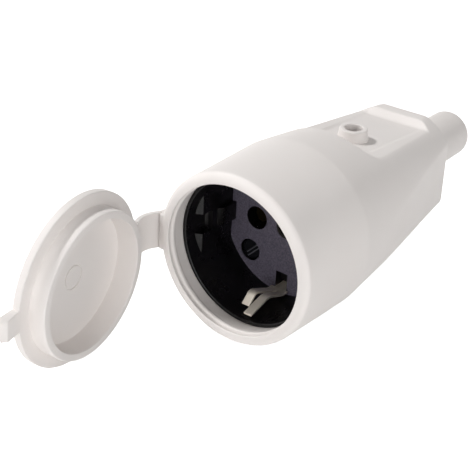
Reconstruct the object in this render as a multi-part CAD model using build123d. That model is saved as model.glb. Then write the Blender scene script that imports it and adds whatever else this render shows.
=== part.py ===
from build123d import *
import os

# Two-pole earthed cord socket with a hinged lid, lying on its side.
# Units are millimetres. The origin is the centre of the mouth's front rim,
# +Y runs into the body towards the cord, +Z towards the fixing screw's boss.

# Plug interface, from the standard that this kind of socket follows
pin_pitch = 19.0
pin_hole_r = 2.6
pin_lead_r = 3.4
pin_lead_depth = 0.8
recess_depth = 17.5
recess_mouth_r = 19.9
recess_floor_r = 19.5
guide_rib_width = 5.2
guide_rib_height = 3.1
guide_rib_start = 8.6
guide_rib_lead = 1.2
side_flat_height = 1.8
side_flat_start = 4.7
side_flat_notch = 5.9

# Clearances between pieces
fit_gap = 0.1
carrier_gap = 0.2
cavity_gap = 0.3
thread_gap = 0.05

# Moulded housing, outside
cup_wall = 1.0
cup_r = recess_mouth_r + cup_wall
wall_r = cup_r + fit_gap
rim_wall = 2.5
rim_r = wall_r + rim_wall
rim_edge_r = 1.0
skirt_swell = 0.9
skirt_r = rim_r + skirt_swell
skirt_length = 27.0
tail_r = 18.6
block_length = 83.5
side_half_width = 15.3
side_taper = 0.175
underside_height = 15.3
underside_taper = 0.12
neck_r = 7.6
neck_end_r = 7.4
neck_length = 32.2
neck_root_fillet = 2.0
neck_end_fillet = 1.4

# Deck cut into the top of the housing
deck_start = 41.2
hump_length = 6.1
deck_end = block_length - hump_length
deck_front_height = 18.0
deck_slope = 0.074
deck_fillet = 6.3
hump_height = 17.2
hump_ramp = 0.7
well_half_width = 9.6
well_start = 48.6
well_front_depth = 1.1
well_rear_depth = 0.1

# Fixing screw's boss
boss_y = 54.5
boss_height = 20.1
boss_r = 3.9
boss_bore_r = 2.8
boss_edge_r = 0.5
boss_seat_height = 14.0

# Moulded housing, inside
mouth_edge_r = wall_r - 0.57
mouth_lip_r = wall_r - 0.75
mouth_lip_y = 1.8
mouth_lip_width = 0.7
mouth_groove_r = wall_r - 0.15
seat_y = 6.5
round_cavity_end = 41.0
box_cavity_end = 62.0
rear_wall = 5.5
clamp_cavity_end = block_length - rear_wall
cord_bore_r = 5.2

# Black socket front
floor_thickness = 3.5
skirt_tail = 3.5
skirt_tail_wall = 2.5
tail_inner_r = cup_r - skirt_tail_wall
bowl_edge_r = 0.35
screw_recess_r = 3.15
screw_recess_depth = 2.4
screw_x = 11.0
screw_z = 10.3
rivet_recess_r = 2.9

# Contact carrier
disc_r = tail_inner_r - carrier_gap
round_cavity_r = tail_inner_r + carrier_gap
block_half_width = 14.0
block_half_height = 9.9
terminal_cover = 0.5
screw_post_r = 3.0
screw_post_length = 8.5
tongue_half_width = 9.9
tongue_top = -5.1
tongue_thickness = 2.9
tongue_end = clamp_cavity_end - 2.0
box_cavity_half_width = block_half_width + cavity_gap
box_cavity_half_height = block_half_height + cavity_gap
clamp_cavity_half_width = tongue_half_width + 1.6
clamp_cavity_half_height = tongue_thickness - tongue_top + 1.5
nut_post_half = 4.2
channel_half_width = 3.2
channel_depth = 2.0

# Pin contacts and their terminals
sleeve_r = 3.35
sleeve_length = 14.4
sleeve_slit = 0.8
sleeve_slit_length = 9.0
terminal_half = 3.9
terminal_length = 7.5
wire_hole_r = 1.5
terminal_screw_r = 1.5
terminal_head_r = 2.0
terminal_head_height = 1.5
screw_slot_width = 0.7
slot_depth_share = 0.5
head_edge_share = 0.15
screw_end_room = 0.3

# Earth strip, clips and terminal
strip_thickness = 0.8
strip_half_width = 2.5
strip_tail_height = -2.8
clip_thickness = 0.6
clip_wall_gap = 1.2
clip_line_height = recess_floor_r - clip_wall_gap
clip_half_width = 2.7
clip_finger_gap = 0.5
clip_root_half_width = 1.7
clip_root_bend = 0.8
clip_finger_bend = 1.2
long_bump_drop = 1.9
long_tip_drop = 0.5
long_tip_depth = 17.0
short_bump_drop = 3.5
short_tip_drop = 0.6
short_tip_depth = 13.4
clip_bump_depth = 9.3
slot_play = 0.2
slot_half_width = clip_root_half_width + slot_play
slot_inner = clip_line_height - 4.9
slot_outer = clip_line_height + clip_thickness / 2 + 0.5
strip_half_length = clip_line_height - clip_thickness / 2 - 0.8
earth_half_width = 3.5
earth_bottom = -8.0
earth_top = -2.2
earth_front = 41.0
earth_wire_cover = 0.8
earth_wire_z = earth_top - wire_hole_r - earth_wire_cover

# Screws, nut, rivet and cord clamp
screw_shank_r = 1.5
screw_head_r = 2.9
screw_head_sink = 0.6
screw_length = 12.5
fixing_shank_r = 1.45
fixing_head_r = 2.6
fixing_head_height = 2.3
fixing_length = 13.0
nut_half = 2.75
nut_height = 2.4
nut_bottom = 4.6
rivet_r = 1.25
rivet_head_r = 2.3
rivet_head_height = 0.9
clamp_setback = 6.0
clamp_y = tongue_end - clamp_setback
clamp_half_length = 2.5
clamp_half_width = 9.5
clamp_bottom = 2.0
clamp_thickness = 3.0
clamp_arch_r = 4.3
clamp_arch_drop = 2.6
clamp_screw_x = 7.0
clamp_post_r = 2.3
clamp_screw_r = 1.3
clamp_head_r = 2.2
clamp_head_height = 1.6

# Hinged lid and its strap. The hinge line leans a little, as the soft strap sags under the open lid.
hinge_x = -rim_r - 4.5
hinge_y = -3.6
hinge_lean_x = 0.0285
hinge_lean_y = -0.0322
lid_open_angle = 83.25
lid_gap = 0.3
lid_flange_r = rim_r - 0.8
lid_flange_thickness = 2.1
lid_edge_r = 0.4
lid_dome_rise = 1.4
lid_dome_r = lid_flange_r - 2.6
lid_plate = 1.8
lid_skirt_play = 0.95
lid_skirt_r = mouth_lip_r - lid_skirt_play
lid_skirt_wall = 2.1
lid_skirt_height = 4.5
lid_lip_r = 0.5
tab_half_width = 2.9
tab_reach = 5.6
tab_slant = 1.3
tab_rise = 0.6
mark_r = 3.4
mark_line = 0.5
mark_depth = 0.2
mark_x = 0.85
mark_z = 0.75
lug_reach = 1.6
lug_sink = 0.2
strap_half_width = 5.2
strap_thickness = 1.4
strap_bow = 1.6
pad_rise = 1.6
pad_fall = 0.4
pad_start = 1.5
pad_end = 9.0

# Places that follow from the sizes above
floor_y = seat_y + recess_depth
floor_back = floor_y + floor_thickness
front_end = floor_back + skirt_tail
pin_x = pin_pitch / 2
carrier_front = floor_back + fit_gap
strip_back = carrier_front + strip_thickness
terminal_front = carrier_front + sleeve_length
terminal_end = terminal_front + terminal_length
block_end = terminal_end + terminal_cover
far = 60.0


def box(x0, x1, y0, y1, z0, z1):
    """A block between two corners."""
    middle = ((x0 + x1) / 2, (y0 + y1) / 2, (z0 + z1) / 2)
    return Pos(*middle) * Box(abs(x1 - x0), abs(y1 - y0), abs(z1 - z0))


def bar_y(radius, y0, y1, x=0.0, z=0.0):
    """A round bar along Y."""
    base = Plane(origin=(x, y0, z), x_dir=(1, 0, 0), z_dir=(0, 1, 0))
    return base * Cylinder(radius, y1 - y0, align=(Align.CENTER, Align.CENTER, Align.MIN))


def bar_z(radius, z0, z1, x=0.0, y=0.0):
    """A round bar along Z."""
    return Pos(x, y, z0) * Cylinder(radius, z1 - z0, align=(Align.CENTER, Align.CENTER, Align.MIN))


def turned(points):
    """A solid turned about Y from its half section, as (radius, y) corners."""
    return revolve(make_face(Polyline(*points, close=True)), Axis.Y)


def side_prism(points, half_width):
    """A section drawn as (y, z) corners and carried along X, both ways."""
    return extrude(Plane.YZ * make_face(Polyline(*points, close=True)), half_width, both=True)


def deck_height(y):
    """The deck's height, which falls gently towards the cord."""
    return deck_front_height - deck_slope * (y - deck_start)


def housing_outside():
    """A turned body with four tapering facets, a neck and the screw's deck."""
    profile = make_face(Polyline(
        (0, 0), (rim_r, 0), (skirt_r, skirt_length), (tail_r, block_length), (0, block_length), close=True))
    front_corner = profile.vertices().sort_by(Axis.Y)[:2].sort_by(Axis.X)[-1]
    body = revolve(fillet(front_corner, rim_edge_r), Axis.Y)
    for side in (-1, 1):
        facet = make_face(Polyline(
            (side * side_half_width, block_length), (side * (side_half_width + side_taper * block_length), 0),
            (side * far, 0), (side * far, block_length), close=True))
        body -= extrude(facet, far, both=True)
    body -= side_prism((
        (block_length, -underside_height), (0, -underside_height - underside_taper * block_length),
        (0, -far), (block_length, -far)), far)
    neck = turned((
        (0, block_length - 1), (neck_r, block_length - 1), (neck_end_r, block_length + neck_length),
        (0, block_length + neck_length)))
    body += neck
    root = body.edges().filter_by(GeomType.CIRCLE).filter_by(
        lambda e: abs(e.center().Y - block_length) < 0.01 and e.radius < neck_r + 0.1)
    body = fillet(root, neck_root_fillet)
    end = body.edges().filter_by(GeomType.CIRCLE).filter_by(
        lambda e: abs(e.center().Y - block_length - neck_length) < 0.01)
    return fillet(end, neck_end_fillet)


def deck_cut():
    """What the deck takes away: a front wall with a wide fillet, the sloping deck and the hump's top."""
    section = make_face(Polyline(
        (deck_start, far), (deck_start, deck_height(deck_start)), (deck_end, deck_height(deck_end)),
        (deck_end + hump_ramp, hump_height), (block_length + 1, hump_height), (block_length + 1, far),
        close=True))
    corner = section.vertices().sort_by(Axis.X)[:2].sort_by(Axis.Y)[0]
    return extrude(Plane.YZ * fillet(corner, deck_fillet), far, both=True)


def well_cut():
    """The shallow well between the deck's two margins."""
    return side_prism((
        (well_start, deck_height(well_start) - well_front_depth),
        (deck_end, deck_height(deck_end) - well_rear_depth),
        (deck_end, deck_height(deck_end) + hump_ramp / 2), (well_start, far)), well_half_width)


def housing():
    """The soft moulded body: skin, boss, strap root, mouth with its lip, and the cavities inside."""
    body = housing_outside() - deck_cut() - well_cut()
    boss = bar_z(boss_r, box_cavity_half_height + 1, boss_height, y=boss_y)
    body += fillet(boss.edges().sort_by(Axis.Z)[-1], boss_edge_r)
    pad = make_face(Polyline(
        (-rim_r + 2, pad_start), (-rim_r - pad_rise, pad_start), (-rim_r - pad_fall, pad_end),
        (-rim_r + 2, pad_end), close=True))
    body += extrude(pad, strap_half_width, both=True)
    body -= bar_z(boss_bore_r, boss_seat_height, boss_height + 1, y=boss_y)
    body -= bar_z(fixing_shank_r + carrier_gap, 0, boss_seat_height + 1, y=boss_y)
    body -= turned((
        (0, -1), (mouth_edge_r, -1), (mouth_edge_r, 0.5), (mouth_groove_r, 0.9),
        (mouth_groove_r, mouth_lip_y - 0.4), (mouth_lip_r, mouth_lip_y),
        (mouth_lip_r, mouth_lip_y + mouth_lip_width), (wall_r, mouth_lip_y + mouth_lip_width + 0.8),
        (wall_r, front_end + fit_gap), (round_cavity_r, front_end + fit_gap),
        (round_cavity_r, round_cavity_end), (0, round_cavity_end)))
    body -= box(-box_cavity_half_width, box_cavity_half_width, round_cavity_end - 1, box_cavity_end,
                -box_cavity_half_height, box_cavity_half_height)
    body -= box(-clamp_cavity_half_width, clamp_cavity_half_width, box_cavity_end - 1, clamp_cavity_end,
                -clamp_cavity_half_height, clamp_cavity_half_height)
    return body - bar_y(cord_bore_r, clamp_cavity_end - 1, block_length + neck_length + 1)


def side_flat(side):
    """A flat on one side of the bowl, notched in the middle of its front end."""
    start = seat_y + side_flat_start
    flat = box(side * (recess_floor_r - side_flat_height), side * far, start, floor_y + 1,
               -recess_floor_r / 2, recess_floor_r / 2)
    flat -= box(side * pin_x, side * far, start - 1, seat_y + guide_rib_start,
                -side_flat_notch / 2, side_flat_notch / 2)
    return flat & bar_y((recess_mouth_r + cup_r) / 2, start, floor_y + 1)


def guide_rib(side):
    """The rib that enters the groove in a plug's side, with a sloping lead at its front end."""
    start = seat_y + guide_rib_start
    face = side * (recess_floor_r - guide_rib_height)
    rib = make_face(Polyline(
        (side * recess_mouth_r, start), (face + side * guide_rib_lead, start), (face, start + guide_rib_lead),
        (face, floor_y + 1), (side * recess_mouth_r, floor_y + 1), close=True))
    return extrude(rib, guide_rib_width / 2, both=True)


def socket_front():
    """The black cup that a plug enters, with its side flats, guide ribs, floor holes and rear skirt."""
    cup = turned((
        (0, floor_y), (recess_floor_r, floor_y), (recess_mouth_r, seat_y), (cup_r, seat_y),
        (cup_r, front_end), (tail_inner_r, front_end), (tail_inner_r, floor_back), (0, floor_back)))
    cup = fillet(cup.edges().filter_by(GeomType.CIRCLE).filter_by(
        lambda e: abs(e.center().Y - seat_y) < 0.01 and e.radius < cup_r - 0.1), bowl_edge_r)
    for side in (-1, 1):
        cup += side_flat(side) + guide_rib(side)
        cup -= bar_y(pin_hole_r, floor_y - 1, floor_back + 1, x=side * pin_x)
        lead = Plane(origin=(side * pin_x, floor_y, 0), z_dir=(0, 1, 0)) * Cone(
            pin_lead_r, pin_hole_r, pin_lead_depth, align=(Align.CENTER, Align.CENTER, Align.MIN))
        cup -= lead
        cup -= bar_y(screw_recess_r, floor_y - 1, floor_y + screw_recess_depth, side * screw_x, side * screw_z)
        cup -= bar_y(screw_shank_r + carrier_gap, floor_y, floor_back + 1, side * screw_x, side * screw_z)
        slot_a, slot_b = sorted((side * slot_inner, side * slot_outer))
        cup -= box(-slot_half_width, slot_half_width, floor_y - 0.001, floor_back + 1, slot_a, slot_b)
        notch_a, notch_b = sorted((side * slot_inner, side * (slot_outer + 0.4)))
        cup -= box(-channel_half_width, channel_half_width, floor_back, front_end + 1, notch_a, notch_b)
    cup -= bar_y(rivet_recess_r, floor_y - 1, floor_y + screw_recess_depth)
    return cup - bar_y(rivet_r + thread_gap, floor_y, floor_back + 1)


def contact_carrier():
    """The black block behind the floor that holds the contacts, with a tongue for nut and cord clamp."""
    block = bar_y(disc_r, carrier_front, front_end)
    block += box(-block_half_width, block_half_width, front_end - 1, block_end,
                 -block_half_height, block_half_height)
    block += box(-tongue_half_width, tongue_half_width, block_end - 1, tongue_end,
                 tongue_top - tongue_thickness, tongue_top)
    block += box(-nut_post_half, nut_post_half, boss_y - nut_post_half, boss_y + nut_post_half,
                 tongue_top - 1, block_half_height)
    block -= box(-channel_half_width, channel_half_width, carrier_front - 1, carrier_front + channel_depth,
                 -far, far)
    for side in (-1, 1):
        block += bar_y(screw_post_r, front_end - 1, front_end + screw_post_length, side * screw_x, side * screw_z)
        block -= bar_y(screw_shank_r + thread_gap, carrier_front - 1, front_end + screw_post_length + 1,
                       side * screw_x, side * screw_z)
        block -= bar_y(sleeve_r + fit_gap, carrier_front - 1, terminal_front, x=side * pin_x)
        pocket = terminal_half + carrier_gap
        block -= box(side * pin_x - pocket, side * pin_x + pocket, terminal_front - carrier_gap,
                     block_end + 1, -pocket, pocket)
        block -= bar_z(terminal_head_r + carrier_gap, 0, far, side * pin_x, terminal_front + terminal_length / 2)
        block += bar_z(clamp_post_r, tongue_top - 1, clamp_bottom, side * clamp_screw_x, clamp_y)
        block -= bar_z(clamp_screw_r + thread_gap, tongue_top, clamp_bottom + 1, side * clamp_screw_x, clamp_y)
    block -= box(-earth_half_width - carrier_gap, earth_half_width + carrier_gap, earth_front - carrier_gap,
                 block_end + 1, -far, earth_top + carrier_gap)
    block -= box(-clip_root_half_width - 0.6, clip_root_half_width + 0.6, carrier_front, earth_front,
                 strip_tail_height - strip_thickness / 2 - carrier_gap,
                 strip_tail_height + strip_thickness / 2 + carrier_gap)
    block -= bar_z(fixing_shank_r + carrier_gap, 0, far, y=boss_y)
    nut_room = nut_half + carrier_gap
    return block - box(-nut_room, nut_room, boss_y - nut_room, boss_y + nut_post_half + 1,
                       nut_bottom - fit_gap, nut_bottom + nut_height + fit_gap)


def pin_contact(side):
    """A slit brass sleeve for one plug pin, with a square terminal behind it."""
    sleeve = bar_y(sleeve_r, carrier_front, terminal_front + 0.5)
    contact = sleeve + box(-terminal_half, terminal_half, terminal_front, terminal_end,
                           -terminal_half, terminal_half)
    contact -= bar_y(pin_hole_r, carrier_front - 1, terminal_front - 0.5)
    contact -= box(-sleeve_slit / 2, sleeve_slit / 2, carrier_front - 1, carrier_front + sleeve_slit_length,
                   -far, far)
    contact -= bar_y(wire_hole_r, terminal_front + 1.5, terminal_end + 1)
    contact -= bar_z(terminal_screw_r + thread_gap, 0, terminal_half + 1, y=terminal_front + terminal_length / 2)
    return Pos(side * pin_x, 0, 0) * contact


def slotted_screw(shank_r, shank_length, head_r, head_height, slot_angle):
    """A slotted cheese-head screw, head up, with the underside of its head at the origin."""
    screw = bar_z(shank_r, -shank_length, 0) + bar_z(head_r, 0, head_height)
    screw = chamfer(screw.edges().sort_by(Axis.Z)[-1], head_height * head_edge_share)
    slot = box(-head_r - 1, head_r + 1, -screw_slot_width / 2, screw_slot_width / 2,
               head_height * slot_depth_share, head_height + 1)
    return screw - Rot(0, 0, slot_angle) * slot


def terminal_screw(side):
    """The screw that clamps a wire in one pin terminal."""
    length = terminal_half - screw_end_room
    screw = slotted_screw(terminal_screw_r, length, terminal_head_r, terminal_head_height, 20 * side)
    return Pos(side * pin_x, terminal_front + terminal_length / 2, terminal_half) * screw


def earth_terminal():
    """The brass block that clamps the earth wire."""
    block = box(-earth_half_width, earth_half_width, earth_front, terminal_end, earth_bottom, earth_top)
    middle = (earth_front + terminal_end) / 2
    block -= bar_y(wire_hole_r, earth_front + 1.5, terminal_end + 1, z=earth_wire_z)
    return block - bar_z(terminal_screw_r + thread_gap, earth_bottom - 1, earth_wire_z, y=middle)


def earth_terminal_screw():
    """The earth terminal's screw, put in from below."""
    screw = slotted_screw(terminal_screw_r, earth_wire_z - earth_bottom, terminal_head_r, terminal_head_height, 35)
    return Pos(0, (earth_front + terminal_end) / 2, earth_bottom) * Rot(180, 0, 0) * screw


def earth_strip():
    """The brass strip behind the floor that joins both earth clips to the earth terminal."""
    strip = box(-strip_half_width, strip_half_width, carrier_front, strip_back,
                -strip_half_length, strip_half_length)
    strip += box(-clip_root_half_width, clip_root_half_width, carrier_front, earth_front,
                 strip_tail_height - strip_thickness / 2, strip_tail_height + strip_thickness / 2)
    return strip - bar_y(rivet_r + thread_gap, carrier_front - 1, strip_back + 1)


def clip_finger(x0, x1, points, bend):
    """A bent strip of sheet metal: a centre line with round bends, given thickness and width."""
    line = FilletPolyline(*points, radius=bend)
    section = Plane.YZ * trace(line, clip_thickness)
    return Pos(x0, 0, 0) * extrude(section, x1 - x0)


def earth_clip(side):
    """A nickel spring clip: a leg behind the floor and two fingers that press on the plug's side contact."""
    leg_y = strip_back + clip_thickness / 2
    line = -clip_line_height
    root = ((leg_y, -slot_inner - 0.6), (leg_y, line), (floor_y - 2.4, line))
    clip = clip_finger(-clip_root_half_width, clip_root_half_width, root, clip_root_bend)
    start, knee = (floor_y - 0.6, line), (floor_y - 2.6, line)
    long_finger = (start, knee, (floor_y - clip_bump_depth, line + long_bump_drop),
                   (floor_y - long_tip_depth, line + long_tip_drop))
    short_finger = (start, knee, (floor_y - clip_bump_depth, line + short_bump_drop),
                    (floor_y - short_tip_depth, line + short_tip_drop))
    clip += clip_finger(clip_finger_gap / 2, clip_half_width, long_finger, clip_finger_bend)
    clip += clip_finger(-clip_half_width, -clip_finger_gap / 2, short_finger, clip_finger_bend)
    return clip if side < 0 else clip.rotate(Axis.Y, 180)


def bridge_rivet():
    """The hollow of the floor's centre hole holds this rivet, which pins the earth strip."""
    head_y = floor_y + screw_recess_depth - rivet_head_height
    rivet = bar_y(rivet_r, head_y, strip_back + rivet_head_height)
    rivet += bar_y(rivet_head_r, head_y, head_y + rivet_head_height)
    return rivet + bar_y(rivet_head_r, strip_back, strip_back + rivet_head_height)


def assembly_screw(side):
    """A slotted screw through the floor that holds front and carrier together."""
    head = screw_recess_depth - screw_head_sink
    screw = slotted_screw(screw_shank_r, screw_length, screw_head_r, head, 0)
    place = Plane(origin=(side * screw_x, floor_y + screw_recess_depth, side * screw_z),
                  x_dir=(0.7071, 0, 0.7071), z_dir=(0, -1, 0))
    return place * screw


def fixing_screw():
    """The screw in the boss that fastens the housing to the carrier."""
    screw = slotted_screw(fixing_shank_r, fixing_length, fixing_head_r, fixing_head_height, 30)
    return Pos(0, boss_y, boss_seat_height) * screw


def fixing_nut():
    """The square nut in the carrier's post."""
    nut = box(-nut_half, nut_half, boss_y - nut_half, boss_y + nut_half, nut_bottom, nut_bottom + nut_height)
    return nut - bar_z(fixing_shank_r + thread_gap, 0, far, y=boss_y)


def cord_clamp():
    """The bar that presses the cord on the tongue, arched underneath."""
    bar = box(-clamp_half_width, clamp_half_width, clamp_y - clamp_half_length, clamp_y + clamp_half_length,
              clamp_bottom, clamp_bottom + clamp_thickness)
    bar -= bar_y(clamp_arch_r, clamp_y - far, clamp_y + far, z=clamp_bottom - clamp_arch_drop)
    for side in (-1, 1):
        bar -= bar_z(clamp_screw_r + thread_gap, 0, far, side * clamp_screw_x, clamp_y)
    return bar


def clamp_screw(side):
    """One of the two screws of the cord clamp."""
    length = clamp_thickness + clamp_bottom - tongue_top - 1
    screw = slotted_screw(clamp_screw_r, length, clamp_head_r, clamp_head_height, 50 * side)
    return Pos(side * clamp_screw_x, clamp_y, clamp_bottom + clamp_thickness) * screw


def swing_open(shape):
    """Turns a piece from the closed lid's place to the open one, about the hinge."""
    return shape.rotate(Axis((hinge_x, hinge_y, 0), (hinge_lean_x, hinge_lean_y, 1)), -lid_open_angle)


def lid():
    """The moulded lid: a flange, a skirt with a round lip, a raised middle, a tab and the strap's lug."""
    face = -lid_gap
    back = face - lid_flange_thickness
    dome = back - lid_dome_rise
    inner_r = lid_skirt_r - lid_skirt_wall
    tip = face + lid_skirt_height
    section = make_face(Polyline(
        (0, dome), (lid_dome_r - lid_dome_rise, dome), (lid_dome_r, back), (lid_flange_r, back),
        (lid_flange_r, face), (lid_skirt_r, face), (lid_skirt_r, tip), (inner_r, tip),
        (inner_r, dome + lid_plate), (0, dome + lid_plate), close=True))
    lip = section.vertices().filter_by(lambda v: abs(v.Y - tip) < 0.01)
    section = fillet(lip, lid_lip_r)
    edge = section.vertices().filter_by(lambda v: abs(v.X - lid_flange_r) < 0.01)
    cap = revolve(fillet(edge, lid_edge_r), Axis.Y)
    tab_end = lid_flange_r + tab_reach
    tab = make_face(Polyline(
        (lid_skirt_r, back), (tab_end, back), (tab_end, face - tab_slant / 2), (tab_end - tab_slant, face + tab_rise),
        (lid_flange_r - 1, face), (lid_skirt_r, face), close=True))
    cap += extrude(tab, tab_half_width, both=True)
    cap += box(-lid_flange_r - lug_reach, -lid_skirt_r, face - lug_sink - strap_thickness, face - lug_sink,
               -strap_half_width, strap_half_width)
    plate = dome + lid_plate
    ring = bar_y(mark_r, plate - mark_depth, plate + 1, mark_x, mark_z)
    ring -= bar_y(mark_r - mark_line, plate - 1, plate + 2, mark_x, mark_z)
    return swing_open(cap - ring)


def opened(x, y):
    """Where a point of the closed lid stands while the lid is open."""
    lean = Axis((0, 0, 0), (hinge_lean_x, hinge_lean_y, 1))
    arm = Vector(x - hinge_x, y - hinge_y, 0).rotate(lean, -lid_open_angle)
    return hinge_x + arm.X, hinge_y + arm.Y


def hinge_strap():
    """The soft strap between housing and lid, bowed outwards while the lid stands open."""
    end = opened(-lid_flange_r - lug_reach - lid_gap, -lid_gap - lug_sink - strap_thickness / 2)
    root = (-rim_r - pad_rise + strap_thickness / 2, pad_start - 0.05)
    middle = ((root[0] + end[0]) / 2 - strap_bow, (root[1] + end[1]) / 2)
    line = Spline(end, middle, root, tangents=((0, 1), (0, 1)))
    return extrude(trace(line, strap_thickness), strap_half_width, both=True)


parts = {
    "housing": housing(),
    "socket_front": socket_front(),
    "contact_carrier": contact_carrier(),
    "pin_contact_left": pin_contact(-1),
    "pin_contact_right": pin_contact(1),
    "terminal_screw_left": terminal_screw(-1),
    "terminal_screw_right": terminal_screw(1),
    "earth_strip": earth_strip(),
    "earth_clip_lower": earth_clip(-1),
    "earth_clip_upper": earth_clip(1),
    "earth_terminal": earth_terminal(),
    "earth_terminal_screw": earth_terminal_screw(),
    "bridge_rivet": bridge_rivet(),
    "assembly_screw_left": assembly_screw(-1),
    "assembly_screw_right": assembly_screw(1),
    "fixing_screw": fixing_screw(),
    "fixing_nut": fixing_nut(),
    "cord_clamp": cord_clamp(),
    "clamp_screw_left": clamp_screw(-1),
    "clamp_screw_right": clamp_screw(1),
    "lid": lid(),
    "hinge_strap": hinge_strap(),
}

os.makedirs("parts", exist_ok=True)
for name, shape in parts.items():
    export_step(shape, f"parts/{name}.step")
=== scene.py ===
import math

import bmesh
import bpy
import numpy as np
from mathutils import Matrix


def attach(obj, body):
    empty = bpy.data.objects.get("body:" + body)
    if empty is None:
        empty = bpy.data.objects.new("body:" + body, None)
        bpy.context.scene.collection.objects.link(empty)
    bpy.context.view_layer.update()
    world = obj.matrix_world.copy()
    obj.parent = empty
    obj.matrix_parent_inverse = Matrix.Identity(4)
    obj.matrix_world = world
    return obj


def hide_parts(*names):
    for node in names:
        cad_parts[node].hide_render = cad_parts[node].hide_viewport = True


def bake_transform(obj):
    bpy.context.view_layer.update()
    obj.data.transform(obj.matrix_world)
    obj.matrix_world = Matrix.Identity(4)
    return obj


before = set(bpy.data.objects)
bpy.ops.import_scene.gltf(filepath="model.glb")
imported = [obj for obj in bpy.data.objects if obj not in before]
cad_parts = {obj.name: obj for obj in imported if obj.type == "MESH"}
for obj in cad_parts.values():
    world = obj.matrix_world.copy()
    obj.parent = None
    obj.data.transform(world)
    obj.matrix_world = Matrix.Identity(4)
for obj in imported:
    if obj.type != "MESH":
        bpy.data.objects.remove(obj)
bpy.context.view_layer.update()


# Housing
# One soft white PVC moulding: round at the mouth, flattened on its sides and underside towards the cord,
# with a sunk deck around the fixing screw's boss and a neck that grips the cord.

# Sizes are in millimetres, along Y from the mouth. The body's cone, its facets at the rear and the deck:
mouth_radius, crease_along, crease_radius = 23.5, 27.0, 24.4
rear_along, rear_radius, rear_half = 83.5, 18.6, 15.3
deck_start, deck_level, deck_fall, deck_round = 41.2, 18.0, 0.074, 6.3
deck_flat, hump_start, hump_ramp, hump_level = 48.0, 76.7, 2.9, 17.2
well_start, well_end, well_deep, well_shallow, well_half, well_edge = 48.6, 77.4, 0.3, 0.15, 9.7, 0.6
# The neck with its bore, and the boss:
neck_fillet, neck_foot, neck_tip, neck_round, neck_end = 2.0, 7.6, 7.4, 1.4, 115.7
bore_start, bore_radius = 78.0, 5.2
boss_along, boss_foot, boss_top, boss_height = 54.5, 4.95, 3.9, 20.05
# Half the strap's width, which its pad on the housing and its lug on the lid share:
strap_half = 5.2


def soft_least(softness, *radii):
    """The least of several radii with its corners rounded: the least, less softness times the log of the
    sum of exp(-(radius - least) / softness)."""
    stack = np.stack(np.broadcast_arrays(*radii))
    least = stack.min(axis=0)
    return least - softness * np.log(np.exp(-(stack - least) / softness).sum(axis=0))


def step(value):
    """A smooth step from 0 to 1: t * t * (3 - 2 t) with t held between 0 and 1."""
    t = np.clip(value, 0, 1)
    return t * t * (3 - 2 * t)


def cone_radius(along):
    """The round body's radius: the lesser of a line that widens from the mouth and one that narrows to
    the rear, so they meet in a crease."""
    widening = mouth_radius + (crease_radius - mouth_radius) * along / crease_along
    share = (along - crease_along) / (rear_along - crease_along)
    return soft_least(0.03, widening, crease_radius - (crease_radius - rear_radius) * share)


def flank_half(along):
    """The side facets' distance from the axis, which grows by 0.175 per millimetre towards the mouth."""
    return rear_half + 0.175 * (rear_along - along)


def belly_half(along):
    """The underside facet's distance from the axis, which grows by 0.12 per millimetre."""
    return rear_half + 0.12 * (rear_along - along)


def deck_line(along):
    """The deck's straight slope down to the rear."""
    return deck_level - deck_fall * (along - deck_start)


def deck_height(across, along):
    """The deck's height over the axis: a gentle slope with a quarter round before it, a short ramp up to
    the hump behind it, and a shallow well between its margins. Before the deck it lies above the skin."""
    above_skin = 30.0
    before = np.clip(deck_start + deck_round - along, 0, None)
    drop = np.sqrt(np.clip(deck_round ** 2 - before ** 2, 0, None))
    wall = np.where(along < deck_start, above_skin, deck_line(along) + deck_round - drop)
    rise = step((along - hump_start) / hump_ramp)
    depth = well_deep - (well_deep - well_shallow) * (along - well_start) / (well_end - well_start)
    inside = step((well_half - np.abs(across)) / well_edge) * step((along - well_start + 0.2) / 0.5) * (1 - rise)
    return wall * (1 - rise) + hump_level * rise - depth * inside


def skin_radius(turn, along):
    """The skin's distance from the axis on each ray: the soft least of the cone, the two side facets, the
    underside facet and the deck, less a wandering sink of a few hundredths. From 45 mm to the rear the
    lower corners draw in, by up to 1.3 mm."""
    least = 0.05
    side = flank_half(along) / np.maximum(np.abs(np.cos(turn)), least)
    under = belly_half(along) / np.maximum(-np.sin(turn), least)
    rise = np.maximum(np.sin(turn), least)
    margin = deck_line(np.clip(along, deck_flat, None))
    deck = deck_height(margin * np.cos(turn) / rise, along) / rise
    sink = 0.05 + 0.025 * np.sin(3 * turn + 0.11 * along) + 0.025 * np.sin(0.23 * along - 2 * turn)
    corner = 1.3 * step((along - 45) / (rear_along - 45)) * np.clip(-2 * np.sin(turn) * np.abs(np.cos(turn)), 0, 1)
    return soft_least(0.16, cone_radius(along) - corner, side, under, deck) - sink * step((along - 2) / 6)


def rear_lean(turn):
    """How far the rear face stands back on each ray: 1.8 mm below, and nothing above."""
    return 0.9 * (1 - np.sin(turn))


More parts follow.
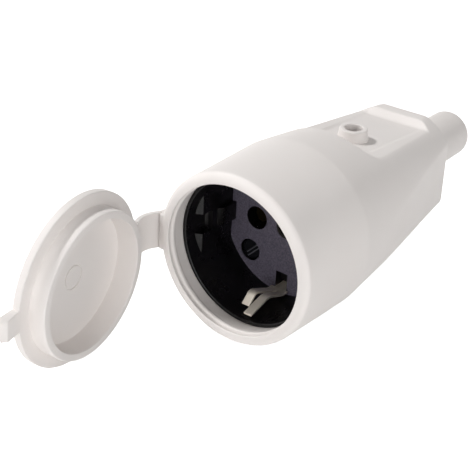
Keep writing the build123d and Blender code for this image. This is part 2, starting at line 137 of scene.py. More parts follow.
def skin_turns(along):
    """The ray angles of each ring. They bunch where the facets, the deck and the well have their edges, so
    that the grid's lines run along those edges. Before an edge begins, its angle stays as it starts."""
    seen = np.clip(along, 12, rear_along)
    under = -np.arcsin(np.clip(belly_half(seen) / cone_radius(seen), 0, 0.985))
    seen = np.clip(along, 38, rear_along)
    side = np.arccos(np.clip(flank_half(seen) / cone_radius(seen), 0, 0.99))
    seen = np.clip(along, deck_flat, rear_along)
    beside_well = 20.0
    height = deck_height(np.full_like(seen, beside_well), seen)
    deck = np.arcsin(height / cone_radius(seen))
    well = np.maximum(np.arctan2(height, well_half - 0.15), deck + math.radians(4))
    quarter = math.pi / 2
    right = [np.full_like(seen, -quarter), under, -side, side, deck, well, np.full_like(seen, quarter)]
    left = [math.pi - k for k in right[-2::-1]]
    knots = np.stack(right + left, axis=1)
    counts = (10, 14, 20, 14, 10, 12)
    blocks = []
    for i, count in enumerate(counts + counts[::-1]):
        t = np.arange(count) / count
        w = 0.45 * t + 0.55 * (1 - np.cos(math.pi * t)) / 2
        blocks.append(knots[:, i, None] * (1 - w) + knots[:, i + 1, None] * w)
    return np.concatenate(blocks, axis=1)


def box_radius(turn, half_x, half_z):
    """The distance to a rectangle's edge on each ray: the lesser of half_x / |cos| and half_z / |sin|."""
    return np.minimum(half_x / np.maximum(np.abs(np.cos(turn)), 1e-6),
                      half_z / np.maximum(np.abs(np.sin(turn)), 1e-6))


def quarter_turn(count):
    """Angles from 0 to a right angle."""
    return np.linspace(0, math.pi / 2, count)


def closed_shell(name, grid, joined):
    """A closed mesh from rings of points in millimetres, shaped (rings, points, 3). The last ring joins
    the first one if joined, and otherwise both end rings are closed with a flat face."""
    rings, around = grid.shape[:2]
    index = np.arange(rings * around).reshape(rings, around)
    lower = index if joined else index[:-1]
    upper = np.roll(index, -1, axis=0) if joined else index[1:]
    quads = np.stack([lower, np.roll(lower, -1, axis=1), np.roll(upper, -1, axis=1), upper], axis=-1)
    faces = quads.reshape(-1, 4).tolist()
    if not joined:
        faces += [index[0][::-1].tolist(), index[-1].tolist()]
    mesh = bpy.data.meshes.new(name)
    mesh.from_pydata((grid.reshape(-1, 3) * 0.001).tolist(), [], faces)
    work = bmesh.new()
    work.from_mesh(mesh)
    bmesh.ops.remove_doubles(work, verts=work.verts, dist=1e-7)
    bmesh.ops.recalc_face_normals(work, faces=work.faces)
    work.to_mesh(mesh)
    work.free()
    mesh.shade_smooth()
    piece = bpy.data.objects.new(name, mesh)
    bpy.context.scene.collection.objects.link(piece)
    return piece


def cut(piece, tools, operation="DIFFERENCE"):
    """Adds the tools to the piece or takes them away, and removes the tools."""
    for tool in tools:
        change = piece.modifiers.new("cut", "BOOLEAN")
        change.operation, change.solver, change.object = operation, "MANIFOLD", tool
    bpy.context.view_layer.update()
    result = bpy.data.meshes.new_from_object(piece.evaluated_get(bpy.context.evaluated_depsgraph_get()))
    piece.modifiers.clear()
    piece.data = result
    for tool in tools:
        bpy.data.objects.remove(tool)
    return piece


def crisp(piece, degrees):
    """Shades the mesh smoothly except over edges that bend by more than that angle."""
    piece.data.shade_smooth()
    piece.data.set_sharp_from_angle(angle=math.radians(degrees))
    return piece


def lathe(name, profile, centre=(0, 0), axis="Y", around=48):
    """A turned solid: (radius, height) corners carried round an axis along Y or Z through the centre."""
    profile = np.asarray(profile, float)
    turn = np.linspace(0, 2 * math.pi, around, endpoint=False)
    a = profile[:, :1] * np.cos(turn) + centre[0]
    b = profile[:, :1] * np.sin(turn) + centre[1]
    h = np.broadcast_to(profile[:, 1:], a.shape)
    return closed_shell(name, np.stack([a, h, b] if axis == "Y" else [a, b, h], axis=-1), joined=False)


def rounded(corners, reach, closed=False, count=6):
    """A line of (a, b) corners with each one rounded by a parabola that starts and ends reach away."""
    p = np.asarray(corners, float)
    back, ahead = np.roll(p, 1, axis=0) - p, np.roll(p, -1, axis=0) - p
    span = np.minimum(np.hypot(*back.T), np.hypot(*ahead.T)) * 0.5
    reach = np.minimum(np.broadcast_to(np.asarray(reach, float), len(p)), span)[:, None]
    start = p + back / np.hypot(*back.T)[:, None] * reach
    end = p + ahead / np.hypot(*ahead.T)[:, None] * reach
    t = np.linspace(0, 1, count)[None, :, None]
    bends = (1 - t) ** 2 * start[:, None] + 2 * t * (1 - t) * p[:, None] + t ** 2 * end[:, None]
    if closed:
        return bends.reshape(-1, 2)
    return np.concatenate([p[:1], bends[1:-1].reshape(-1, 2), p[-1:]])


def housing_rings():
    """Every ring of the housing in order, as (along, radius): the rim's round, the skin, the rear face,
    the neck, its end and bore, the cavities, and the mouth with its groove and lip."""
    bend = quarter_turn(7)
    skin = np.concatenate([
        1.5 * (1 - np.cos(bend)), np.linspace(1.8, 26, 22), [26.6, 26.9, 27.1, 27.4],
        np.linspace(28, 40.6, 14), np.linspace(41.0, 49.4, 38), np.linspace(50, 76.6, 26),
        np.linspace(hump_start, hump_start + hump_ramp, 17), np.linspace(80, 83.1, 5),
        rear_along - 0.4 * (1 - np.sin(bend[1:]))])
    inset = np.zeros_like(skin)
    inset[:7] = 2.0 * (1 - np.sin(bend))
    inset[-6:] = 0.4 * (1 - np.cos(bend[1:]))
    turns = skin_turns(skin)
    lean = rear_lean(turns) * step((skin[:, None] - 60) / 23)
    rings = [(skin[:, None] + lean, skin_radius(turns, skin[:, None]) - inset[:, None], turns)]
    rear = skin_turns(np.full(1, rear_along))[0]
    edge = rings[0][1][-1]
    for share in np.linspace(0.15, 1, 6):
        rings.append((rear_along + rear_lean(rear) * (1 - share),
                      edge * (1 - share) + (neck_foot + neck_fillet) * share, rear))
    for a in quarter_turn(7)[1:]:
        rings.append((rear_along + neck_fillet * (1 - math.cos(a)),
                      neck_foot + neck_fillet * (1 - math.sin(a)), rear))
    neck_start = rear_along + neck_fillet
    for share in np.linspace(0.1, 1, 10):
        rings.append((neck_start + (neck_end - neck_round - neck_start) * share,
                      neck_foot + (neck_tip - neck_foot) * share, rear))
    for a in quarter_turn(8)[1:]:
        rings.append((neck_end - neck_round * (1 - math.sin(a)), neck_tip - neck_round * (1 - math.cos(a)), rear))
    for along, wider in ((neck_end, 0.3), (neck_end - 0.1, 0.1), (neck_end - 0.3, 0), (100, 0), (bore_start, 0)):
        rings.append((along, bore_radius + wider, rear))
    for along, half_x, half_z in ((bore_start, 11.5, 9.5), (62, 11.5, 9.5), (62, 14.3, 10.2), (41, 14.3, 10.2)):
        turns = skin_turns(np.array([along], float))[0]
        rings.append((along, box_radius(turns, half_x, half_z), turns))
    inner = rounded([(41, 18.6), (31.1, 18.6), (31.1, 21.0), (3.4, 21.0), (2.6, 20.25), (1.8, 20.25),
                     (1.35, 20.9), (0.75, 20.9), (0.45, 20.45), (0, 20.45), (0, 21.3)],
                    [0, 0.3, 0.3, 0.3, 0.25, 0.25, 0.2, 0.2, 0.15, 0.25, 0], count=5)
    mouth = skin_turns(np.zeros(1))[0]
    for along, radius in inner:
        turns = skin_turns(np.array([along]))[0] if along > 31 else mouth
        rings.append((along, radius, turns))
    return rings


def ring_grid(rings):
    """Points of all rings: x = radius * cos(turn), y = along, z = radius * sin(turn)."""
    blocks = []
    for along, radius, turns in rings:
        turns = np.atleast_2d(turns)
        along = np.broadcast_to(np.atleast_2d(along), turns.shape)
        radius = np.broadcast_to(radius, turns.shape)
        blocks.append(np.stack([radius * np.cos(turns), along, radius * np.sin(turns)], axis=-1))
    return np.concatenate(blocks)


housing = closed_shell("housing_moulding", ring_grid(housing_rings()), joined=True)
well_radius, way_radius = 2.6, 1.65
boss_profile = rounded([(0, 12), (boss_foot, 12), (boss_top, boss_height), (well_radius, boss_height),
                        (well_radius, 19), (0, 19)], [0, 0, 0.45, 0.35, 0, 0])
boss = lathe("boss", boss_profile, centre=(0, boss_along), axis="Z", around=72)
screw_well = lathe("well", [(0, 14), (well_radius, 14), (well_radius, 21), (0, 21)],
                   centre=(0, boss_along), axis="Z", around=72)
screw_way = lathe("way", [(0, 8), (way_radius, 8), (way_radius, 15), (0, 15)],
                  centre=(0, boss_along), axis="Z", around=32)
pad_outline = rounded([(-21.6, 0.3), (-23.72, 0.3), (-23.75, 1.47), (-25.05, 1.5), (-23.95, 9), (-21.6, 9)],
                      [0.1, 0.1, 0.05, 0.6, 0.5, 0.1], closed=True)


def prism(name, outline, low, high, edge):
    """A slab with the outline in X and Y from low to high in Z, its upper and lower edges rounded by
    drawing the outline in towards its middle by edge * (1 - sin)."""
    middle = outline.mean(axis=0)
    size = np.abs(outline - middle).mean()
    bend = quarter_turn(5)
    heights = np.concatenate([low + edge * (1 - np.cos(bend)), high - edge * (1 - np.cos(bend[::-1]))])
    draw = np.concatenate([edge * (1 - np.sin(bend)), edge * (1 - np.sin(bend[::-1]))])
    plan = middle + (outline - middle) * (1 - draw / size)[:, None, None]
    tall = np.broadcast_to(heights[:, None, None], plan.shape[:2] + (1,))
    return closed_shell(name, np.concatenate([plan, tall], axis=-1), joined=False)


pad = prism("pad", pad_outline, -strap_half, strap_half, 0.4)
cut(housing, [boss, pad], "UNION")
cut(housing, [screw_well, screw_way])
crisp(housing, 32)
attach(housing, "body")
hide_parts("housing")


def linear(code):
    """An sRGB hex colour as linear red, green, blue and alpha."""
    value = np.array([int(code[i:i + 2], 16) for i in (1, 3, 5)]) / 255
    return (*np.where(value <= 0.04045, value / 12.92, ((value + 0.055) / 1.055) ** 2.4), 1.0)


def add(material, kind, links=None, **settings):
    """Adds a node with its settings, and links or sets its inputs by name or number."""
    node = material.node_tree.nodes.new(kind)
    for key, value in settings.items():
        setattr(node, key, value)
    for key, value in (links or {}).items():
        if isinstance(value, bpy.types.NodeSocket):
            material.node_tree.links.new(value, node.inputs[key])
        else:
            node.inputs[key].default_value = value
    return node


def new_material(name):
    """An empty node material with its output node."""
    material = bpy.data.materials.new(name)
    material.use_nodes = True
    material.node_tree.nodes.clear()
    return material, add(material, "ShaderNodeOutputMaterial")


def moulded_plastic(name, light, shade, rough, gloss_spread, grain_mm, grain_depth_mm, wave_depth_mm,
                    ior=1.52):
    """Injection-moulded plastic: a drift between two colours every 22 mm and between two roughnesses every
    5 mm, a fine grain from the tool's surface, and a waviness every 8 mm from shrinking in the tool."""
    material, out = new_material(name)
    place = add(material, "ShaderNodeTexCoord").outputs["Object"]
    drift = add(material, "ShaderNodeTexNoise", {"Vector": place, "Scale": 1000 / 22.2, "Detail": 3.0})
    tint = add(material, "ShaderNodeMix", {0: drift.outputs["Fac"], 6: linear(light), 7: linear(shade)},
               data_type="RGBA")
    cloud = add(material, "ShaderNodeTexNoise", {"Vector": place, "Scale": 1000 / 4.76, "Detail": 4.0})
    gloss = add(material, "ShaderNodeMapRange", {"Value": cloud.outputs["Fac"], "From Min": 0.3, "From Max": 0.7,
                "To Min": rough - gloss_spread, "To Max": rough + gloss_spread})
    grain = add(material, "ShaderNodeTexNoise", {"Vector": place, "Scale": 1000 / grain_mm, "Detail": 2.0})
    wave = add(material, "ShaderNodeTexNoise", {"Vector": place, "Scale": 1000 / 8.33, "Detail": 1.0})
    low = add(material, "ShaderNodeBump", {"Height": wave.outputs["Fac"], "Strength": 1.0,
              "Distance": wave_depth_mm * 0.001})
    bump = add(material, "ShaderNodeBump", {"Height": grain.outputs["Fac"], "Strength": 1.0,
               "Distance": grain_depth_mm * 0.001, "Normal": low.outputs["Normal"]})
    shader = add(material, "ShaderNodeBsdfPrincipled", {"Base Color": tint.outputs[2],
                 "Roughness": gloss.outputs["Result"], "IOR": ior, "Normal": bump.outputs["Normal"]})
    material.node_tree.links.new(shader.outputs[0], out.inputs["Surface"])
    return material


def paint(piece, material):
    """Gives a piece or a CAD node that one material."""
    piece.data.materials.clear()
    piece.data.materials.append(material)


# Soft PVC, moulded against a fine-etched tool: a warm white with a satin sheen and faint waviness.
# The etch is about 0.1 mm in life and is drawn at 0.4 mm so that it shows.
soft_pvc = moulded_plastic("soft PVC, injection moulded", "#F1ECE9", "#EDE7E3", 0.58, 0.05, 0.4, 0.012, 0.10)
paint(housing, soft_pvc)


# Lid
# A second PVC moulding: a flange that covers the rim, a skirt that plugs the mouth, a raised back and a
# finger tab. It is modelled shut and then turned open about the strap's hinge line, which leans a little.

hinge_place, hinge_line = np.array([-28.0, -3.6, 0.0]), np.array([0.0285, -0.0322, 1.0])
hinge_line /= np.linalg.norm(hinge_line)
open_turn = math.radians(-83.25)
flange_radius, flange_front, flange_back, inner_face = 22.7, -0.3, -2.4, -2.0
tab_half = 2.9


def swing_open(grid):
    """Turns points from the shut lid to the open one about the hinge line k: the arm v from the hinge
    becomes v cos + (k x v) sin + k (k . v)(1 - cos)."""
    arm = grid - hinge_place
    c, s = math.cos(open_turn), math.sin(open_turn)
    along = (arm @ hinge_line)[..., None] * hinge_line
    return hinge_place + arm * c + np.cross(hinge_line, arm) * s + along * (1 - c)


def lid_rings():
    """The lid's half section as (radius, along), from the middle of its back round to its inner face."""
    return rounded(
        [(0.4, -3.8), (18.7, -3.8), (20.1, flange_back), (flange_radius, flange_back),
         (flange_radius, flange_front), (19.2, flange_front), (19.1, 1.5), (19.3, 3.2), (19.15, 4.2), (17.3, 4.2),
         (17.2, 3.6), (17.15, inner_face), (0.4, inner_face)],
        [0, 0.6, 0.6, 0.3, 0.35, 0.12, 0.6, 0.6, 0.3, 0.12, 0.2, 0.25, 0])


def turned_grid(profile, around):
    """Rings about Y from a (radius, along) profile."""
    turn = np.linspace(0, 2 * math.pi, around, endpoint=False)
    radius, along = profile[:, :1], np.broadcast_to(profile[:, 1:], (len(profile), around))
    return np.stack([radius * np.cos(turn), along, radius * np.sin(turn)], axis=-1)


lid_profile = lid_rings()
plate = np.linspace(16.6, 0.4, 24)
lid_profile = np.concatenate([lid_profile[:-1], np.stack([plate, np.full_like(plate, inner_face)], axis=1)])
lid = closed_shell("lid_moulding", swing_open(turned_grid(lid_profile, 180)), joined=False)
tab_outline = rounded(
    [(20.5, -2.38), (28.3, -2.38), (28.3, -0.95), (27.0, 0.28), (22.0, -0.33), (20.5, -0.35)],
    [0.1, 0.4, 0.3, 0.4, 0.6, 0.1], closed=True)


def lid_prism(name, outline, half_width, edge):
    """A slab across the lid from an outline in the shut lid's X and Y, swung open with it."""
    piece = prism(name, outline, -half_width, half_width, edge)
    points = np.empty(len(piece.data.vertices) * 3)
    piece.data.vertices.foreach_get("co", points)
    points = swing_open(points.reshape(-1, 3) * 1000) * 0.001
    piece.data.vertices.foreach_set("co", points.ravel())
    return piece


tab = lid_prism("tab", tab_outline, tab_half, 0.3)
lug_outline = rounded([(-24.3, -1.9), (-21.0, -1.9), (-21.0, -0.5), (-24.3, -0.5)],
                      [0.2, 0.1, 0.1, 0.2], closed=True)
lug = lid_prism("lug", lug_outline, strap_half, 0.3)
groove_floor, ring_inner, ring_outer, ring_middle = inner_face - 0.25, 2.9, 3.4, np.array([0.85, 0, 0.75])
groove = rounded([(ring_inner, -1.5), (ring_inner, groove_floor), (ring_outer, groove_floor),
                  (ring_outer, -1.5)], 0.15, closed=True, count=3)
mark = closed_shell("mark", swing_open(turned_grid(groove, 96) + ring_middle), joined=True)
cut(lid, [tab, lug], "UNION")
cut(lid, [mark])
crisp(lid, 40)
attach(lid, "lid")
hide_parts("lid")
paint(lid, soft_pvc)


# Strap
# The same PVC, a thin tongue that joins lid and housing and bows outwards while the lid stands open.

def swept(name, path, section, across, ends):
    """A solid carried along a path: each ring is the path's point, plus the section's first number along
    the path's normal and its second along the direction across. The end rings draw in to round them."""
    path, across = np.asarray(path, float), np.asarray(across, float)
    tangent = np.gradient(path, axis=0)
    tangent /= np.linalg.norm(tangent, axis=1)[:, None]
    bend = quarter_turn(4)[1:]
    first = path[0] - tangent[0] * (ends * np.sin(bend[::-1]))[:, None]
    last = path[-1] + tangent[-1] * (ends * np.sin(bend))[:, None]
    path = np.concatenate([first, path, last])
    tangent = np.concatenate([np.repeat(tangent[:1], 3, 0), tangent, np.repeat(tangent[-1:], 3, 0)])
    draw = np.zeros(len(path))
    draw[:3] = ends * (1 - np.cos(bend[::-1]))
    draw[-3:] = ends * (1 - np.cos(bend))
    reach = np.abs(section).max(axis=0)
    scale = 1 - draw[:, None] / reach
    normal = np.cross(across, tangent)
    grid = (path[:, None] + normal[:, None] * (section[None, :, :1] * scale[:, None, :1])
            + across * (section[None, :, 1:] * scale[:, None, 1:]))
    return closed_shell(name, grid, joined=False)


def bar_section(half_thick, half_wide, edge):
    """A flat bar's outline with rounded edges."""
    return rounded([(-half_thick, -half_wide), (half_thick, -half_wide), (half_thick, half_wide),
                    (-half_thick, half_wide)], edge, closed=True, count=4)


def bow(start, middle, end, count):
    """A parabola through three points in X and Y: start, middle at half way, and end."""
    t = np.linspace(0, 1, count)[:, None]
    p = [np.asarray(v, float) for v in (start, middle, end)]
    control = 2 * p[1] - (p[0] + p[2]) / 2
    line = (1 - t) ** 2 * p[0] + 2 * t * (1 - t) * control + t ** 2 * p[2]
    return np.concatenate([line, np.zeros((count, 1))], axis=1)


strap_line = bow((-25.0, -7.3), (-26.2, -2.9), (-24.45, 1.4), 40)
strap = swept("strap", strap_line, bar_section(0.68, strap_half, 0.3), (0, 0, 1), 0.05)
crisp(strap, 40)
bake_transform(strap)
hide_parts("hinge_strap")
paint(strap, soft_pvc)


# Socket front
# The black glass-filled cup that takes the plug: a tapered bowl, two guide ribs, and a flat floor with
# pin holes, screw recesses and the slots of the earth clips. It is a separate hard moulding.

floor_along, floor_back, cup_radius, skirt_radius = 24.0, 27.5, 20.9, 18.4
ledge_chord, ledge_slope, ledge_edge = 17.7, 0.55, 0.35
pin_across, screw_across, screw_up, slot_half = 9.5, 11.0, 10.3, 1.9
# Where the cutting tools start and end, before and behind the floor, and where the recesses end:
tool_start, tool_end, recess_end = 23, 28, 26.4
cup_profile = rounded(
    [(0.4, floor_along), (19.5, floor_along), (19.88, 6.5), (cup_radius, 6.5), (cup_radius, 31.0),
     (skirt_radius, 31.0), (skirt_radius, floor_back), (0.4, floor_back)],
    [0, 0.3, 0.35, 0.25, 0.2, 0.2, 0.2, 0], count=7)
cup = closed_shell("socket_front_moulding", turned_grid(cup_profile, 192), joined=False)


def side_ledge(side):
    """A flat on one side of the bowl: a segment between a chord and an arc, (x, z) corners carried along
    the axis. Its front slopes by ledge_slope times the distance from the chord, its edge is rounded by
    drawing it in, and it has a notch in its middle."""
    arc = np.linspace(-0.485, 0.485, 25)
    outline = np.concatenate([np.stack([20.2 * np.cos(arc), 20.2 * np.sin(arc)], axis=1),
                              np.stack([np.full(9, ledge_chord), np.linspace(9.2, -9.2, 9)], axis=1)])
    bend = quarter_turn(4)
    draw = np.concatenate([ledge_edge * (1 - np.sin(bend)), [0]])[:, None]
    across = np.maximum(outline[:, 0], ledge_chord + draw)
    front = 11.1 + ledge_edge * (1 - np.cos(bend))[:, None] - ledge_slope * (across[:4] - ledge_chord)
    along = np.concatenate([front, np.full((1, len(outline)), 24.5)])
    grid = np.stack([side * across, along, np.broadcast_to(outline[:, 1], along.shape)], axis=-1)
    ledge = closed_shell("ledge", grid, joined=False)
    low, high = sorted((side * 16.0, side * 21.0))
    notch = rounded([(low, 8), (high, 8), (high, 15.1), (low, 15.1)], 0.1, closed=True, count=3)
    return cut(ledge, [prism("ledge_notch", notch, -2.95, 2.95, 0.05)])


def clip_way(name, half_wide, front, back, near, far, side):
    """A square way for the clip: half_wide to each side in X, from front to back along Y, and between two
    heights on that side of the axis."""
    outline = rounded([(-half_wide, front), (half_wide, front), (half_wide, back), (-half_wide, back)],
                      0.05, closed=True, count=3)
    low, high = sorted((side * near, side * far))
    return prism(name, outline, low, high, 0.05)


def recess(name, radius, centre):
    """A round recess in the floor for a head, a quarter of a millimetre wider at its mouth."""
    return lathe(name, [(0, tool_start), (radius + 0.25, tool_start), (radius, floor_along + 0.25),
                        (radius, recess_end), (0, recess_end)], centre=centre, around=64)


def shank_way(name, radius, centre):
    """The plain way for a screw's or rivet's shank behind its recess."""
    return lathe(name, [(0, 26), (radius, 26), (radius, tool_end), (0, tool_end)], centre=centre, around=32)


ribs, holes = [], []
for side in (-1, 1):
    rib = rounded([(side * 20.2, 13.6), (side * 20.2, 24.5), (side * 16.4, 24.5), (side * 16.4, 19.0)],
                  [0.1, 0.1, 0.1, 0.6], closed=True)
    ribs += [side_ledge(side), prism("rib", rib, -2.6, 2.6, 0.2)]
    screw_place = (side * screw_across, side * screw_up)
    pin_hole = [(0, tool_start), (3.5, tool_start), (3.5, floor_along), (3.3, floor_along + 0.15), (2.6, 27),
                (2.6, tool_end), (0, tool_end)]
    holes += [lathe("pin", pin_hole, centre=(side * pin_across, 0), around=64),
              recess("recess", 3.15, screw_place), shank_way("way", 1.7, screw_place),
              clip_way("slot", slot_half, tool_start, tool_end, 17.4, 19.1, side),
              clip_way("pocket", slot_half, tool_start, 26.7, 13.4, 17.6, side),
              clip_way("notch", 3.2, floor_back, 32, 13.4, 19.5, side)]
holes += [recess("centre", 2.9, (0, 0)), shank_way("rivet_way", 1.3, (0, 0))]
cut(cup, ribs, "UNION")
cut(cup, holes)
crisp(cup, 30)
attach(cup, "body")
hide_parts("socket_front")
# Black polyamide, moulded in a polished tool: nearly black, and a half-gloss. The tool's polish leaves a
# grain under 0.1 mm, drawn at 0.5 mm so that it shows. Polyamide's own IOR is 1.53; at 1.38 it mirrors as
# little as the real cup does. The floor's face is spark eroded, matt and grained; its lighter violet grey is
# painted light, for the light the floor catches through the mouth.
polyamide_finish = ("#060506", "#090809", 0.3, 0.05, 0.5, 0.004, 0.02, 1.38)
black_polyamide = moulded_plastic("black polyamide, injection moulded", *polyamide_finish)
cup_polyamide = moulded_plastic("black polyamide, spark-eroded floor with painted light", *polyamide_finish)


def floor_etch_and_painted_light(material, light, dark, rough):
    """Gives the faces that lie within 0.2 mm of the floor's plane another colour and roughness. The lighter
    colour is painted light, for the light the floor catches through the mouth. The pits of spark erosion
    are about 0.1 mm wide, and are drawn at 0.385 mm so that they show."""
    tree = material.node_tree
    shader = next(node for node in tree.nodes if node.type == "BSDF_PRINCIPLED")
    place = add(material, "ShaderNodeTexCoord").outputs["Object"]
    along = add(material, "ShaderNodeSeparateXYZ", {0: place}).outputs["Y"]
    near = add(material, "ShaderNodeMath", {0: along, 1: floor_along * 0.001, 2: 0.0002},
               operation="COMPARE").outputs[0]
    grain = add(material, "ShaderNodeTexNoise", {"Vector": place, "Scale": 1000 / 0.385, "Detail": 3.0})
    etched = add(material, "ShaderNodeMix", {0: grain.outputs["Fac"], 6: linear(light), 7: linear(dark)},
                 data_type="RGBA")
    for socket, value, kind in (("Base Color", etched.outputs[2], "RGBA"), ("Roughness", rough, "FLOAT")):
        mixed = shader.inputs[socket].links[0].from_socket
        a, b, result = (6, 7, 2) if kind == "RGBA" else (2, 3, 0)
        mix = add(material, "ShaderNodeMix", {0: near, a: mixed, b: value}, data_type=kind)
        tree.links.new(mix.outputs[result], shader.inputs[socket])


# The floor's lighter colours are painted light; its grain and matt roughness are the etched finish.
floor_etch_and_painted_light(cup_polyamide, "#716B7B", "#1F1C25", 0.6)
paint(cup, cup_polyamide)
paint(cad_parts["contact_carrier"], black_polyamide)


# Earth clips
# Two spring clips bent from nickel-plated strip. A leg grips behind the floor, comes through the slot and
# splits into two fingers, which bow inwards to press on the plug's side contact.

leg_height, half_thick, leg_half, finger_half, finger_across = 18.3, 0.3, 1.7, 1.225, 1.475


def strip_path(corners, reach, side):
    """A bent centre line in Y and Z from (along, height) corners, with its bends rounded. The lower clip
    hangs below the axis, and the upper one is the same clip turned half round the axis."""
    line = rounded(corners, reach, count=10)
    return np.stack([np.zeros(len(line)), line[:, 0], -line[:, 1]], axis=1) * (1, 1, -side)


def bent_clip(name, side):
    """Three bars in one mesh: the leg and the two fingers."""
    leg = strip_path([(28.7, 14.0), (28.7, leg_height), (21.6, leg_height)], [0, 0.9, 0], side)
    bars = [swept(name, leg, bar_section(half_thick, leg_half, 0.12), (1, 0, 0), 0.05)]
    root = [(23.4, leg_height), (21.4, leg_height)]
    for tip, bend, middle in (([(14.9, 15.9), (7.0, 18.1)], 1.6, finger_across),
                              ([(13.1, 14.9), (10.1, 17.8)], 1.3, -finger_across)):
        line = strip_path(root + tip, [0, 1.6, bend, 0], side) - np.array([side * middle, 0, 0])
        bars.append(swept("finger", line, bar_section(half_thick, finger_half, 0.12), (1, 0, 0), 0.12))
    return cut(bars[0], bars[1:], "UNION")


def bright_metal(name, colour, tone, rough, scratch_mm, bare=1.0):
    """Bare or plated metal: two close colours in clouds of 3 mm, and fine streaks that the roughness and
    the bump follow. The streaks are hundredths of a millimetre wide in life and are drawn at scratch_mm so
    that they show. Below 1, bare leaves a share of matt oxide or plating."""
    material, out = new_material(name)
    place = add(material, "ShaderNodeTexCoord").outputs["Object"]
    drawn = add(material, "ShaderNodeMapping", {"Vector": place, "Scale": (1.0, 0.15, 1.0)})
    streak = add(material, "ShaderNodeTexNoise", {"Vector": drawn.outputs[0], "Scale": 1000 / scratch_mm,
                 "Detail": 3.0})
    cloud = add(material, "ShaderNodeTexNoise", {"Vector": place, "Scale": 1000 / 3.33, "Detail": 2.0})
    tint = add(material, "ShaderNodeMix", {0: cloud.outputs["Fac"], 6: linear(colour), 7: linear(tone)},
               data_type="RGBA")
    gloss = add(material, "ShaderNodeMapRange", {"Value": streak.outputs["Fac"], "From Min": 0.3,
                "From Max": 0.7, "To Min": rough * 0.8, "To Max": rough * 1.25})
    bump = add(material, "ShaderNodeBump", {"Height": streak.outputs["Fac"], "Strength": 1.0,
               "Distance": 0.000004})
    shader = add(material, "ShaderNodeBsdfPrincipled", {"Base Color": tint.outputs[2], "Metallic": bare,
                 "Roughness": gloss.outputs["Result"], "Normal": bump.outputs["Normal"]})
    material.node_tree.links.new(shader.outputs[0], out.inputs["Surface"])
    return material


# Bronze strip with dull nickel plating: a warm silver that mirrors softly.
nickel = bright_metal("bronze strip, nickel plated", "#F6EFE3", "#EBE2D2", 0.36, 0.35, bare=0.4)
for side, node in ((-1, "earth_clip_lower"), (1, "earth_clip_upper")):
    clip = crisp(bent_clip(node.replace("clip", "spring"), side), 40)
    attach(clip, "body")
    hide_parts(node)
    paint(clip, nickel)
paint(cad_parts["bridge_rivet"], nickel)


# Contacts, terminals and earth strip
# Pressed and drilled brass behind the floor, as cut from strip and bar, left bare.

brass = bright_metal("brass, pressed and drilled", "#A98B4E", "#8F7440", 0.45, 0.3)
# The pin contacts' brass is darkened as painted shade, for the deep holes it lies in.
brass_painted_shade = bright_metal("brass, darkened as painted shade", "#5A4A30", "#463A27", 0.5, 0.3, bare=0.8)
for node, finish in (("pin_contact_left", brass_painted_shade), ("pin_contact_right", brass_painted_shade),
                     ("earth_strip", brass), ("earth_terminal", brass)):
    paint(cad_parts[node], finish)


# Screws, nut and cord clamp
# Steel with bright zinc plating: slotted cheese-head screws, a square nut and a pressed clamp bar.

zinc = bright_metal("steel, bright zinc plated", "#BFC1C4", "#AEB1B6", 0.32, 0.25)
for node in ("terminal_screw_left", "terminal_screw_right", "earth_terminal_screw", "fixing_screw",
             "fixing_nut", "cord_clamp", "clamp_screw_left", "clamp_screw_right"):
    paint(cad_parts[node], zinc)


def slot_painted_highlight(material, colour, spacing, reach):
    """Paints a highlight in and beside the slots of the two floor screws: a lighter colour that stands for
    the light their edges catch. The band lies, in metres, where |x - z| is within reach of the spacing, since
    one slot runs along x = z + spacing and the other along x = z - spacing."""
    tree = material.node_tree
    shader = next(node for node in tree.nodes if node.type == "BSDF_PRINCIPLED")
    place = add(material, "ShaderNodeTexCoord").outputs["Object"]
    split = add(material, "ShaderNodeSeparateXYZ", {0: place})
    across = add(material, "ShaderNodeMath", {0: split.outputs["X"], 1: split.outputs["Z"]},
                 operation="SUBTRACT")
    size = add(material, "ShaderNodeMath", {0: across.outputs[0]}, operation="ABSOLUTE")
    near = add(material, "ShaderNodeMath", {0: size.outputs[0], 1: spacing, 2: reach}, operation="COMPARE")
    mixed = shader.inputs["Base Color"].links[0].from_socket
    mix = add(material, "ShaderNodeMix", {0: near.outputs[0], 6: mixed, 7: linear(colour)}, data_type="RGBA")
    tree.links.new(mix.outputs[2], shader.inputs["Base Color"])


# The floor's screws are blackened, and a lighter band along their slots is a painted highlight, for the light that
# the slot edges catch.
black_steel = bright_metal("steel, blackened", "#17171C", "#1E1E24", 0.35, 0.25, bare=0.8)
slot_painted_highlight(black_steel, "#6E6E74", 0.0007, 0.00025)
for node in ("assembly_screw_left", "assembly_screw_right"):
    paint(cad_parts[node], black_steel)


# Floor, light and camera
# A pale studio floor under the socket, a small key lamp high on the left, a soft box in front, a low fill
# on each side, and a pale world. Floor and world look white to the camera and in reflections.

def shown_rays(material):
    """A socket that is 1 on camera, glossy and transmission rays, and 0 on the rays that light things."""
    path = add(material, "ShaderNodeLightPath")
    seen = path.outputs["Is Camera Ray"]
    for kind in ("Is Glossy Ray", "Is Transmission Ray"):
        seen = add(material, "ShaderNodeMath", {0: seen, 1: path.outputs[kind]}, operation="MAXIMUM").outputs[0]
    return seen


def white_to_camera(material, lit, strength):
    """Adds light of that strength to a shader, on the shown rays alone."""
    glow = add(material, "ShaderNodeMath", {0: shown_rays(material), 1: strength}, operation="MULTIPLY")
    glow = add(material, "ShaderNodeEmission", {"Color": linear("#FFFFFF"), "Strength": glow.outputs[0]})
    return add(material, "ShaderNodeAddShader", {0: lit, 1: glow.outputs[0]}).outputs[0]


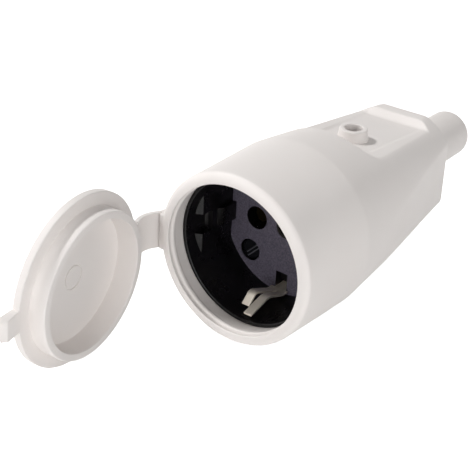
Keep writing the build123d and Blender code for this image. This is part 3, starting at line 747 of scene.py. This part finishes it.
floor_mesh = bpy.data.meshes.new("floor")
floor_reach, floor_height = 3.0, -0.0239
floor_corners = [(x * floor_reach, y * floor_reach, floor_height) for x, y in ((-1, -1), (1, -1), (1, 1), (-1, 1))]
floor_mesh.from_pydata(floor_corners, [], [(0, 1, 2, 3)])
floor = bpy.data.objects.new("floor", floor_mesh)
bpy.context.scene.collection.objects.link(floor)
floor_paint, floor_out = new_material("studio floor, matt white")
floor_diffuse = add(floor_paint, "ShaderNodeBsdfDiffuse", {"Color": linear("#E7E7E7")})
floor_paint.node_tree.links.new(white_to_camera(floor_paint, floor_diffuse.outputs[0], 0.82),
                                floor_out.inputs["Surface"])
paint(floor, floor_paint)

world = bpy.data.worlds.new("studio")
bpy.context.scene.world = world
world.use_nodes = True
world.node_tree.nodes.clear()
world_out = add(world, "ShaderNodeOutputWorld")
ambient = add(world, "ShaderNodeBackground", {"Color": linear("#FFFFFF"), "Strength": 0.28})
backdrop = add(world, "ShaderNodeBackground", {"Color": linear("#FFFFFF"), "Strength": 1.0})
chosen = add(world, "ShaderNodeMixShader",
             {0: shown_rays(world), 1: ambient.outputs[0], 2: backdrop.outputs[0]})
world.node_tree.links.new(chosen.outputs[0], world_out.inputs["Surface"])


def lamp(name, place, target, size, watts):
    """A square area lamp at a place in metres, facing a target."""
    light = bpy.data.lights.new(name, "AREA")
    light.energy, light.size = watts, size
    piece = bpy.data.objects.new(name, light)
    bpy.context.scene.collection.objects.link(piece)
    away = np.array(place, float) - np.array(target, float)
    away /= np.linalg.norm(away)
    level = np.cross((0, 0, 1), away)
    level /= np.linalg.norm(level)
    turn = np.eye(4)
    turn[:3, :3] = np.stack([level, np.cross(away, level), away], axis=1)
    turn[:3, 3] = place
    piece.matrix_world = Matrix(turn.tolist())


body_middle = (0, 0.03, 0)
for name, place, size, watts in (("key lamp, high left", (-0.5, -0.1, 0.62), 0.12, 3.6),
                                 ("soft box, front", (0.15, -1.0, 0.05), 0.5, 5.2),
                                 ("low fill, left", (-0.85, -0.5, 0.1), 0.4, 1.5),
                                 ("low fill, right", (0.95, -0.25, 0.08), 0.6, 4.2)):
    lamp(name, place, body_middle, size, watts)


def photo_camera(azimuth, height, roll, distance, middle, focal_px, frame_px):
    """A camera placed by its azimuth, elevation and roll in degrees and its distance in millimetres from
    the mouth's centre, shifted sideways and up by middle, with its focal length in pixels."""
    a, e, r = (math.radians(v) for v in (azimuth, height, roll))
    level = np.array([-math.sin(a), math.cos(a), 0.0])
    right = np.array([math.cos(a), math.sin(a), 0.0])
    upward = math.sin(e) * level + math.cos(e) * np.array([0, 0, 1.0])
    ahead = math.cos(e) * level - math.sin(e) * np.array([0, 0, 1.0])
    side = math.cos(r) * right + math.sin(r) * upward
    top = -math.sin(r) * right + math.cos(r) * upward
    turn = np.eye(4)
    turn[:3, :3] = np.stack([side, top, -ahead], axis=1)
    turn[:3, 3] = (side * middle[0] + top * middle[1] - ahead * distance) * 0.001
    lens = bpy.data.cameras.new("camera")
    lens.sensor_width = 36.0
    lens.lens = focal_px / frame_px * lens.sensor_width
    lens.clip_start = 0.01
    piece = bpy.data.objects.new("camera", lens)
    bpy.context.scene.collection.objects.link(piece)
    piece.matrix_world = Matrix(turn.tolist())
    return piece


# These were fitted to the mouth's ellipses and the body's corners in the photograph, 470 pixels wide.
bpy.context.scene.camera = photo_camera(azimuth=36.139, height=28.020, roll=3.125, distance=280.0,
                                        middle=(1.255, 6.763), focal_px=1116.957, frame_px=470)
bpy.context.scene.view_settings.view_transform = "Standard"
